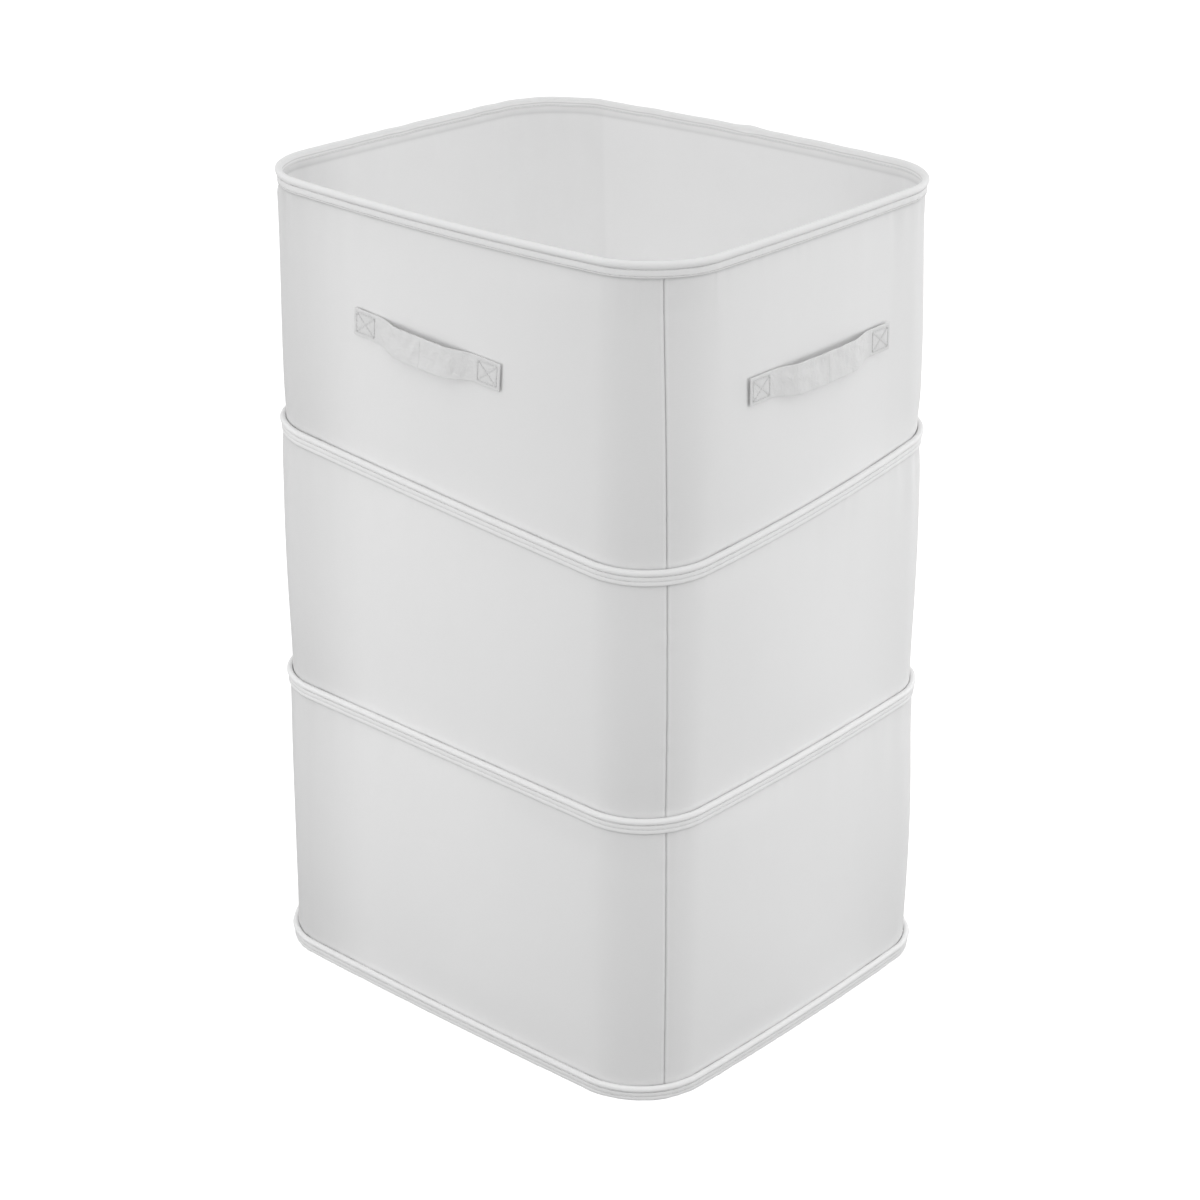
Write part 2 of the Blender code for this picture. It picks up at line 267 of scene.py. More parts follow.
def thread_mesh(name: str, routes: Array, normals: Array) -> Piece:
    """Many short stitches in one mesh, each a four-sided thread that tapers at both ends.

    A ring of the thread is its centre + radius * (cos(a) * normal + sin(a) * side), where
    side is the route's heading crossed with the normal.

    Args:
        name: the piece's name.
        routes: each stitch's centre points, (stitches, steps, 3).
        normals: the cloth's outward normal at them, the same shape.

    Returns:
        The object.
    """
    stitches, steps = routes.shape[:2]
    heading = np.gradient(routes, axis=1)
    heading /= np.linalg.norm(heading, axis=-1, keepdims=True)
    side = np.cross(heading, normals)
    side /= np.linalg.norm(side, axis=-1, keepdims=True)
    lift = np.cross(side, heading)
    share = np.linspace(-1, 1, steps)
    radius = THREAD_RADIUS * (1 - 0.55 * share ** 4)
    angle = np.radians([45, 135, 225, 315])
    around = (np.cos(angle)[:, None] * lift[:, :, None, :] + np.sin(angle)[:, None] * side[:, :, None, :])
    points = routes[:, :, None, :] + radius[None, :, None, None] * around
    first = (np.arange(stitches) * steps * 4)[:, None, None]
    ring, turn = np.arange(steps - 1)[None, :, None], np.arange(4)[None, None, :]
    low, high = first + ring * 4, first + (ring + 1) * 4
    sides = np.stack([low + turn, high + turn, high + (turn + 1) % 4, low + (turn + 1) % 4], -1)
    start = first[:, 0] + np.array([[0, 1, 2, 3]])
    end = first[:, 0] + (steps - 1) * 4 + np.array([[3, 2, 1, 0]])
    return make_mesh(name, points.reshape(-1, 3), np.vstack([sides.reshape(-1, 4), start, end]))


# ---- a hoop's line
@dataclass(frozen=True)
class HoopLine:
    """A wire hoop's centre line: a rounded rectangle with bowed sides, slightly out of level.

    A station q runs from 0 to 8, anticlockwise: the corners back left, front left, front
    right and back right are 0-1, 2-3, 4-5 and 6-7, and the sides lie between them.
    """

    height: float
    half_x: float
    half_y: float
    bow: Pair
    sway: float
    slip: float = 0.0         # stations by which the walls' seam lies off its own station here

    @classmethod
    def from_node(cls, node: str, bow: Pair, sway: float, slip: float) -> "HoopLine":
        """The line of a CAD hoop, sized from its box.

        Args:
            node: the hoop's CAD node.
            bow: how far its sides bow out at their middles, along X and along Y.
            sway: how far its corners stand out of level.
            slip: how far round the seam is shifted on this hoop, in stations.

        Returns:
            The line.
        """
        low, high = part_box(node)
        half_x, half_y = high.x - WIRE_RADIUS - bow[0], high.y - WIRE_RADIUS - bow[1]
        return cls((low.z + high.z) / 2, half_x, half_y, bow, sway, slip)

    def line(self, q: Array) -> Array:
        """Points of the line.

        The plain point is a corner's centre + radius * (cos, sin) of its angle, where the
        centre slides along a side and the angle turns round a corner. The bow adds
        bow_x * across^3 * (1 - along^2) and the like along Y, and the sway lifts it by
        sway * across * along, with across = x / half_x and along = y / half_y.

        Args:
            q: stations.

        Returns:
            Places, one for each station.
        """
        segment = np.floor(q).astype(int) % SEGMENTS
        share = q - np.floor(q)
        corner, on_side = segment // 2, segment % 2 == 1
        centre_x = np.array([-1, -1, 1, 1]) * (self.half_x - CORNER_RADIUS)
        centre_y = np.array([1, -1, -1, 1]) * (self.half_y - CORNER_RADIUS)
        slide, following = np.where(on_side, share, 0), (corner + 1) % 4
        angle = math.pi / 2 * (corner + 1 + np.where(on_side, 1, share))
        x, y = (centre[corner] + (centre[following] - centre[corner]) * slide + CORNER_RADIUS * round_off
                for centre, round_off in ((centre_x, np.cos(angle)), (centre_y, np.sin(angle))))
        across, along = x / self.half_x, y / self.half_y
        return np.stack([x + self.bow[0] * across ** 3 * (1 - along ** 2),
                         y + self.bow[1] * along ** 3 * (1 - across ** 2),
                         self.height + self.sway * across * along], -1)

    def slipped(self, q: Array) -> Array:
        """Stations shifted near the seam: q + slip * bell of the distance from the seam's station."""
        beside = (q - SEAM_STATION + SEGMENTS / 2) % SEGMENTS - SEGMENTS / 2
        return q + self.slip * bell(beside, 0.5)

    def outward(self, q: Array) -> Array:
        """Unit normals in plan: the line's heading turned a quarter to the right."""
        step = 0.01
        heading = self.line(q + step) - self.line(q - step)
        normal = np.stack([heading[:, 1], -heading[:, 0], np.zeros(len(q))], -1)
        return normal / np.linalg.norm(normal, axis=1, keepdims=True)

    def ring(self, q: Array, reach: Array, rise: Array) -> Array:
        """Line + outward normal * reach + up * rise.

        Args:
            q: stations, (columns,).
            reach: distances out from the line, (rows, columns) or (rows, 1).
            rise: distances up from it, the same.

        Returns:
            Places, (rows, columns, 3).
        """
        up = np.array([0.0, 0.0, 1.0])
        out = self.outward(q) * np.asarray(reach)[..., None]
        return self.line(q) + out + up * np.asarray(rise)[..., None]

    def lengths(self, q: Array) -> Array:
        """Distance along the line to each station, and at the end once round."""
        points = self.line(np.append(q, q[0]))
        return np.append(0, np.cumsum(np.linalg.norm(np.diff(points, axis=0), axis=1)))


def columns_round(fine: bool) -> Array:
    """Stations round a hoop from the seam, closer together in corners and beside the seam.

    Args:
        fine: adds the close columns beside the seam.

    Returns:
        Rising stations, over one turn.
    """
    parts = []
    for segment in range(SEGMENTS):
        count = CORNER_COLUMNS if segment % 2 == 0 else SIDE_COLUMNS
        parts.append(segment + np.arange(count) / count)
    if fine:
        beside = np.array([0.4, 0.8, 1.2, 1.6, 2.1, 2.7, 3.4, 4.2, 5.2, 6.4, 8.0]) * 1e-3
        beside /= CORNER_RADIUS * math.pi / 2
        parts.append(SEAM_STATION + np.concatenate([-beside, beside]))
    q = (np.concatenate(parts) - SEAM_STATION) % SEGMENTS
    q = np.sort(q)
    clear = np.concatenate([[True], np.diff(q) > 1e-4])
    return np.concatenate([[0.0], q[clear & (q > 1e-4)]]) + SEAM_STATION


# ---- finishes
def add_node(tree: Tree, kind: str, **inputs: object) -> bpy.types.Node:
    """A node with values set on its named sockets; underscores stand for spaces."""
    node = tree.nodes.new(kind)
    for word, value in inputs.items():
        node.inputs[word.replace("_", " ")].default_value = value
    return node


def math_node(tree: Tree, operation: str, first: object, second: object) -> Socket:
    """A Math node on two values, each a socket or a number."""
    node = tree.nodes.new("ShaderNodeMath")
    node.operation = operation
    for socket, value in zip(node.inputs, (first, second)):
        if isinstance(value, Socket):
            tree.links.new(value, socket)
        else:
            socket.default_value = value
    return node.outputs[0]


def new_group(name: str, inputs: dict[str, str], outputs: list[str]) -> tuple:
    """An empty shader node group with named sockets.

    Args:
        name: the group's name.
        inputs: socket names and their types.
        outputs: names of its plain value outputs.

    Returns:
        The tree, its input node and its output node.
    """
    tree = bpy.data.node_groups.new(name, "ShaderNodeTree")
    for word, kind in inputs.items():
        tree.interface.new_socket(word, in_out="INPUT", socket_type=kind)
    for word in outputs:
        tree.interface.new_socket(word, in_out="OUTPUT", socket_type="NodeSocketFloat")
    return tree, tree.nodes.new("NodeGroupInput"), tree.nodes.new("NodeGroupOutput")


def weave_group() -> Tree:
    """Plain weave: height = half of sin(2 pi x / pitch) * sin(2 pi y / pitch), plus slubs of noise."""
    tree, given, out = new_group(
        "plain weave", {"Place": "NodeSocketVector", "Pitch": "NodeSocketFloat", "Slub": "NodeSocketFloat"},
        ["Height", "Slubs"])
    split = tree.nodes.new("ShaderNodeSeparateXYZ")
    tree.links.new(given.outputs["Place"], split.inputs[0])
    turn = math_node(tree, "DIVIDE", 2 * math.pi, given.outputs["Pitch"])
    waves = []
    for axis in ("X", "Y"):
        angle = math_node(tree, "MULTIPLY", split.outputs[axis], turn)
        waves.append(math_node(tree, "SINE", angle, 0.0))
    crossing = math_node(tree, "MULTIPLY", waves[0], waves[1])
    stretch = add_node(tree, "ShaderNodeMapping", Scale=(260.0, 1500.0, 1.0))
    tree.links.new(given.outputs["Place"], stretch.inputs["Vector"])
    noise = add_node(tree, "ShaderNodeTexNoise", Scale=1.0, Detail=2.0, Roughness=0.6)
    tree.links.new(stretch.outputs[0], noise.inputs["Vector"])
    slubs = math_node(tree, "MULTIPLY", math_node(tree, "SUBTRACT", noise.outputs["Fac"], 0.5),
                      given.outputs["Slub"])
    height = math_node(tree, "ADD", math_node(tree, "MULTIPLY", crossing, 0.5), slubs)
    tree.links.new(height, out.inputs["Height"])
    tree.links.new(noise.outputs["Fac"], out.inputs["Slubs"])
    return tree


def mottle_group() -> Tree:
    """Soft patches: value = middle + spread * (noise - 0.5)."""
    tree, given, out = new_group(
        "soft mottle", {"Place": "NodeSocketVector", "Scale": "NodeSocketFloat",
                        "Middle": "NodeSocketFloat", "Spread": "NodeSocketFloat"}, ["Value"])
    noise = add_node(tree, "ShaderNodeTexNoise", Detail=3.0, Roughness=0.55)
    tree.links.new(given.outputs["Place"], noise.inputs["Vector"])
    tree.links.new(given.outputs["Scale"], noise.inputs["Scale"])
    spread = math_node(tree, "MULTIPLY", math_node(tree, "SUBTRACT", noise.outputs["Fac"], 0.5),
                       given.outputs["Spread"])
    tree.links.new(math_node(tree, "ADD", spread, given.outputs["Middle"]), out.inputs["Value"])
    return tree


def shared_group(name: str) -> Tree:
    """One of the shared node groups, made the first time that it is asked for."""
    makers = {"plain weave": weave_group, "soft mottle": mottle_group}
    return bpy.data.node_groups.get(name) or makers[name]()


def place_group(tree: Tree, name: str, place: Socket, **inputs: float) -> bpy.types.Node:
    """A shared group in a material, fed with a place and its own values."""
    node = tree.nodes.new("ShaderNodeGroup")
    node.node_tree = shared_group(name)
    tree.links.new(place, node.inputs["Place"])
    for word, value in inputs.items():
        node.inputs[word].default_value = value
    return node


def new_material(name: str) -> tuple:
    """A material with a Principled shader.

    Args:
        name: the material's name.

    Returns:
        The material, its node tree and its Principled node.
    """
    material = bpy.data.materials.new(name)
    material.use_nodes = True
    return material, material.node_tree, material.node_tree.nodes["Principled BSDF"]


def tinted(tree: Tree, colour: Triple, shade: Socket) -> Socket:
    """The colour multiplied by a shade from 0 to 1."""
    mix = tree.nodes.new("ShaderNodeMix")
    mix.data_type = "RGBA"
    mix.blend_type = "MULTIPLY"
    mix.inputs["Factor"].default_value = 1.0
    first, second = (socket for socket in mix.inputs if socket.type == "RGBA")
    first.default_value = (*colour, 1.0)
    tree.links.new(shade, second)
    return next(socket for socket in mix.outputs if socket.type == "RGBA")


def object_place(tree: Tree) -> Socket:
    """The place in the bin's own frame."""
    return tree.nodes.new("ShaderNodeTexCoord").outputs["Object"]


def mottle(tree: Tree, place: Socket, scale: float, middle: float, spread: float) -> Socket:
    """Soft patches of a value, from the shared group."""
    group = place_group(tree, "soft mottle", place, Scale=scale, Middle=middle, Spread=spread)
    return group.outputs["Value"]


@dataclass(frozen=True)
class ClothFinish:
    """A woven cloth: weave and slubs as bump, soft patches in shade and gloss, and painted shade from the
    shade attribute, darkest in creases, seams and corners.
    """

    name: str
    colour: Triple
    roughness: float
    pitch: float              # of the weave, two threads
    depth: float              # the weave's height in the bump
    slub: float = 0.5
    mottle: float = 0.03
    # how far the painted shade attribute darkens the colour
    crease_shade: float = 0.30
    crumple: float = 0.0      # height of fine crumples in the bump
    sheen: float = 0.12

    def build(self) -> Material:
        """Makes the material."""
        material, tree, shader = new_material(self.name)
        cloth = tree.nodes.new("ShaderNodeUVMap")
        cloth.uv_map = CLOTH_MAP
        place = object_place(tree)
        weave = place_group(tree, "plain weave", cloth.outputs[0], Pitch=self.pitch, Slub=self.slub)
        patch = mottle(tree, place, 9.0, 1.0 - self.mottle / 2, self.mottle)
        # painted shade: the colour is darkened by the shade attribute times its strength
        crease = tree.nodes.new("ShaderNodeAttribute")
        crease.attribute_name = SHADE_MAP
        painted_darkening = math_node(tree, "MULTIPLY", crease.outputs["Fac"], self.crease_shade)
        thread = math_node(tree, "MULTIPLY", weave.outputs["Slubs"], 0.03)
        shade = math_node(tree, "SUBTRACT", math_node(tree, "SUBTRACT", patch, painted_darkening), thread)
        tree.links.new(tinted(tree, self.colour, shade), shader.inputs["Base Color"])
        tree.links.new(mottle(tree, place, 30.0, self.roughness, 0.08), shader.inputs["Roughness"])
        bump = add_node(tree, "ShaderNodeBump", Distance=self.depth, Strength=0.8)
        tree.links.new(weave.outputs["Height"], bump.inputs["Height"])
        if self.crumple:
            noise = add_node(tree, "ShaderNodeTexNoise", Scale=240.0, Detail=3.0, Roughness=0.5,
                             Distortion=0.6)
            tree.links.new(place, noise.inputs["Vector"])
            coarse = add_node(tree, "ShaderNodeBump", Distance=self.crumple, Strength=1.0)
            tree.links.new(noise.outputs["Fac"], coarse.inputs["Height"])
            tree.links.new(coarse.outputs["Normal"], bump.inputs["Normal"])
        tree.links.new(bump.outputs["Normal"], shader.inputs["Normal"])
        shader.inputs["Sheen Weight"].default_value = self.sheen
        shader.inputs["Sheen Roughness"].default_value = 0.5
        shader.inputs["Specular IOR Level"].default_value = 0.3
        return material


@dataclass(frozen=True)
class PlainFinish:
    """A finish of soft noise alone, in its colour, its gloss and its height."""

    name: str
    colour: Triple
    patches: Triple           # scale, middle and spread of the colour's shade
    gloss: Triple             # the same, of the roughness
    bump: Pair                # distance and strength
    metallic: float = 0.0
    stretch: Triple | None = None     # draws the patches out into fibres, which the bump then follows

    def build(self) -> Material:
        """Makes the material."""
        material, tree, shader = new_material(self.name)
        place = ground = object_place(tree)
        if self.stretch:
            mapping = add_node(tree, "ShaderNodeMapping", Scale=self.stretch)
            tree.links.new(place, mapping.inputs["Vector"])
            ground = mapping.outputs[0]
        shade = mottle(tree, ground, *self.patches)
        gloss = mottle(tree, place, *self.gloss)
        tree.links.new(tinted(tree, self.colour, shade), shader.inputs["Base Color"])
        tree.links.new(gloss, shader.inputs["Roughness"])
        bump = add_node(tree, "ShaderNodeBump", Distance=self.bump[0], Strength=self.bump[1])
        tree.links.new(shade if self.stretch else gloss, bump.inputs["Height"])
        tree.links.new(bump.outputs["Normal"], shader.inputs["Normal"])
        shader.inputs["Metallic"].default_value = self.metallic
        return material


class Wardrobe:
    """The bin's finishes, each built once."""

    def __init__(self) -> None:
        """Builds every material."""
        self.wall = ClothFinish("wall cloth", (0.90, 0.90, 0.90), 0.78, 0.0007, 0.00006).build()
        self.tape = ClothFinish("binding tape", (0.91, 0.91, 0.91), 0.72, 0.0009, 0.00009, slub=0.7,
                                crease_shade=0.22).build()
        self.strap = ClothFinish("strap cloth", (0.84, 0.84, 0.84), 0.80, 0.0011, 0.00016, slub=0.9,
                                 mottle=0.06, crease_shade=0.07, crumple=0.0009).build()
        self.thread = PlainFinish("sewing thread", (0.84, 0.84, 0.84), (420.0, 0.94, 0.14),
                                  (900.0, 0.50, 0.20), (0.00008, 0.7)).build()
        self.board = PlainFinish("grey board", (0.46, 0.44, 0.41), (260.0, 0.86, 0.50), (60.0, 0.85, 0.15),
                                 (0.00012, 0.8), stretch=(1.0, 4.0, 3.0)).build()
        self.wire = PlainFinish("spring steel wire", (0.44, 0.44, 0.46), (160.0, 0.92, 0.25),
                                (380.0, 0.34, 0.18), (0.00003, 0.6), metallic=1.0).build()
        self.ferrule = PlainFinish("crimped ferrule", (0.62, 0.62, 0.64), (160.0, 0.92, 0.25),
                                   (380.0, 0.30, 0.18), (0.00003, 0.6), metallic=1.0).build()


def settle(piece: Piece, material: Material, body: str | None) -> Piece:
    """Dresses a finished piece and puts it on its body.

    Args:
        piece: the piece, its place in its mesh.
        material: its finish.
        body: the CAD body that it rides on, or None, which leaves it on no body.

    Returns:
        The piece.
    """
    piece.data.materials.append(material)
    if body:
        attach(piece, body)
    log.info("%s: %d faces on %s", piece.name, len(piece.data.polygons), body or "two bodies")
    return piece


# ---- wire hoops
@dataclass
class WireHoop:
    """One spring-steel hoop and the ferrule that closes it, at the middle of the back side."""

    name: str
    body: str
    line: HoopLine
    ferrule_radius: float = 0.00185
    ferrule_length: float = 0.014
    end_gap: float = 0.0005       # from the back side's middle to each end of the wire
    sides: int = 12

    def build(self, finishes: Wardrobe) -> None:
        """Makes the wire and the ferrule."""
        self.wire(finishes)
        self.ferrule(finishes)

    def wire(self, finishes: Wardrobe) -> None:
        """A tube along the line: line + radius * (cos(a) * outward + sin(a) * up), capped at both ends."""
        span = self.line.lengths(np.array([7.0, 8.0]))[1]
        middle = FERRULE_PLACE + self.end_gap / span
        q = middle + np.linspace(0, SEGMENTS - 2 * self.end_gap / span, 360)
        angle = np.linspace(0, 2 * math.pi, self.sides, endpoint=False)[:, None]
        grid = self.line.ring(q, WIRE_RADIUS * np.cos(angle), WIRE_RADIUS * np.sin(angle))
        cloth = np.zeros((self.sides, len(q), 2))
        piece = grid_mesh(self.name + "_spring_wire", grid, cloth, tube=True,
                          more_faces=end_caps(self.sides, len(q)))
        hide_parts(self.name + "_hoop")
        settle(piece, finishes.wire, self.body)

    def ferrule(self, finishes: Wardrobe) -> None:
        """A sleeve with two crimped dents: its radius dips by a bell at each dent, on top and below."""
        low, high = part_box(self.name + "_ferrule")
        centre = np.array([(low.x + high.x) / 2, (low.y + high.y) / 2, (low.z + high.z) / 2])
        along = np.linspace(-0.5, 0.5, 41)[None, :] * self.ferrule_length
        angle = np.linspace(0, 2 * math.pi, 24, endpoint=False)[:, None]
        dent = bell(along - 0.0032, 0.0013) + bell(along + 0.0032, 0.0013)
        end = self.ferrule_length / 2
        rim = 0.00018 * smooth_step(np.abs(along), end - 0.0006, end)
        radius = self.ferrule_radius - rim - 0.00030 * dent * np.sin(angle) ** 2
        grid = np.stack([centre[0] - along + 0 * angle, centre[1] + radius * np.cos(angle),
                         centre[2] + radius * np.sin(angle)], -1)
        piece = grid_mesh(self.name + "_crimp_ferrule", grid, np.zeros((24, 41, 2)), tube=True)
        wall = piece.modifiers.new("thickness", "SOLIDIFY")
        wall.thickness = 0.00035
        wall.offset = -1
        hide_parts(self.name + "_ferrule")
        settle(piece, finishes.ferrule, self.body)


# ---- binding tapes
@dataclass
class BindingTape:
    """A cloth tape folded over a hoop and sewn below it, with its rows of stitches."""

    name: str
    body: str
    line: HoopLine
    seed: int
    is_rim: bool = False
    channel: float = 0.00190          # radius of the tape's middle over the wire
    grooves: tuple[float, ...] = (-0.0023, -0.0055)
    lower_edge: float = -BAND_DROP
    pillow: float = 0.00042           # how far each sewn strip puffs out between its stitch rows
    pieces: list = field(default_factory=list)

    def profile(self) -> Array:
        """The tape's section as (reach, rise): inner edge, arc over the wire, then the puffed strips.

        The arc is radius * (cos, sin) of an angle that falls from inside to the front. A
        strip's reach is its base + pillow * |sin| between the stitch rows, which it dips to.

        Returns:
            Points from the lower outer edge up and over to the inner edge, (rows, 2).
        """
        start = 205 if self.is_rim else 165
        angle = np.radians(np.linspace(start, -62, 34 if self.is_rim else 26))
        arc = self.channel * np.stack([np.cos(angle), np.sin(angle)], -1)
        bounds = [*self.grooves, self.lower_edge]
        strips = []
        for top, bottom in zip(bounds, bounds[1:]):
            share = np.linspace(0, 1, 11)[1:]
            puff = self.pillow * np.sqrt(np.abs(np.sin(math.pi * share)) + 1e-9)
            strips.append(np.stack([0.00040 + puff, top + (bottom - top) * share], -1))
        groove = np.array([[0.00046, self.grooves[0] + 0.0002], [0.00030, self.grooves[0]]])
        inner = np.zeros((0, 2))
        if self.is_rim:
            rise = np.linspace(-0.0042, -0.0017, 6)
            inner = np.stack([-0.00205 - 0.0002 * np.sin(math.pi * (rise + 0.0042) / 0.0025), rise], -1)
        return np.vstack([inner, arc, groove, *strips])[::-1]

    def build(self, finishes: Wardrobe) -> Piece:
        """Makes the tape and its stitches, and returns the tape."""
        q = columns_round(fine=False)
        lengths = self.line.lengths(q)
        profile = self.profile()
        across = np.append(0, np.cumsum(np.linalg.norm(np.diff(profile, axis=0), axis=1)))
        along, up = np.meshgrid(lengths[:-1], across)
        loop = lengths[-1]
        sway = Ripple(0.00012, 0.060, 0.022, self.seed, upright=1, loop=loop)(along, up)
        crimp = Ripple(0.00007, 0.012, 0.006, self.seed + 1, upright=0.8, loop=loop)(along, up)
        sewn = smooth_step(-profile[:, 1], 0.0010, 0.0030)[:, None]
        ferrule = bell(lengths[:-1] - np.interp(FERRULE_PLACE, q, lengths[:-1]), 0.0085)
        swell = 1 + FERRULE_SWELL * ferrule * (1 - sewn)
        reach = profile[:, :1] * swell + sway + crimp * (0.4 + 0.6 * sewn)
        rise = profile[:, 1:] * swell + 0.6 * sway
        grid = self.line.ring(q, reach, rise)
        grid[..., 2] = np.maximum(grid[..., 2], FLOOR_CLEARANCE)
        # painted shade: darker along the stitch grooves, the rim's inner stitch lines and the tape's lower
        # edge
        dip = sum(bell(profile[:, 1] - groove, 0.00035) for groove in self.grooves)
        inside = sum(bell(profile[:, 1] - rise_at, 0.00035) for rise_at in (-0.0017, -0.0033, -0.0042))
        dip = np.where(profile[:, 0] > 0, dip, 1.3 * inside) + bell(profile[:, 1] - self.lower_edge, 0.0004)
        crease = np.repeat(dip[:, None], len(q), 1)
        closed = np.stack(np.meshgrid(lengths, across), -1)
        piece = grid_mesh(self.name + "_binding", grid, closed, closed=True, crease=crease)
        thicken(piece, TAPE_THICKNESS)
        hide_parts(self.name + "_tape")
        settle(piece, finishes.tape, self.body)
        for number, groove in enumerate(self.grooves):
            self.stitches(f"{self.name}_stitch_row_{number + 1}", 0.00078, groove, finishes)
        if self.is_rim:
            self.stitches(f"{self.name}_inner_stitch_row", -0.00245, -0.0033, finishes)
        return piece

    def stitches(self, name: str, reach: float, rise: float, finishes: Wardrobe) -> None:
        """A row of lock stitches round the tape.

        Each stitch is a low arch: its ends sink into the cloth and its middle stands
        0.25 mm * (1 - share^2) above them.

        Args:
            name: the row's name.
            reach: the row's distance out from the wire's line.
            rise: its distance up from it.
            finishes: the finishes.
        """
        q = columns_round(fine=False)
        lengths = self.line.lengths(q)
        count = int(lengths[-1] / STITCH_PITCH)
        share = np.linspace(-1, 1, 5)
        centre = (np.arange(count) + 0.5) * lengths[-1] / count
        places = (centre[:, None] + share * STITCH_LENGTH / 2).ravel()
        at = np.interp(places, lengths, np.append(q, q[0] + SEGMENTS))
        facing = math.copysign(1.0, reach)
        arch = np.tile(0.00022 * (1 - share ** 2) - 0.00012, count)[None, :]
        routes = self.line.ring(at, reach + facing * arch, np.full_like(arch, rise))[0]
        normals = facing * self.line.outward(at)
        piece = thread_mesh(name, routes.reshape(count, 5, 3), normals.reshape(count, 5, 3))
        self.pieces.append(settle(piece, finishes.thread, self.body))


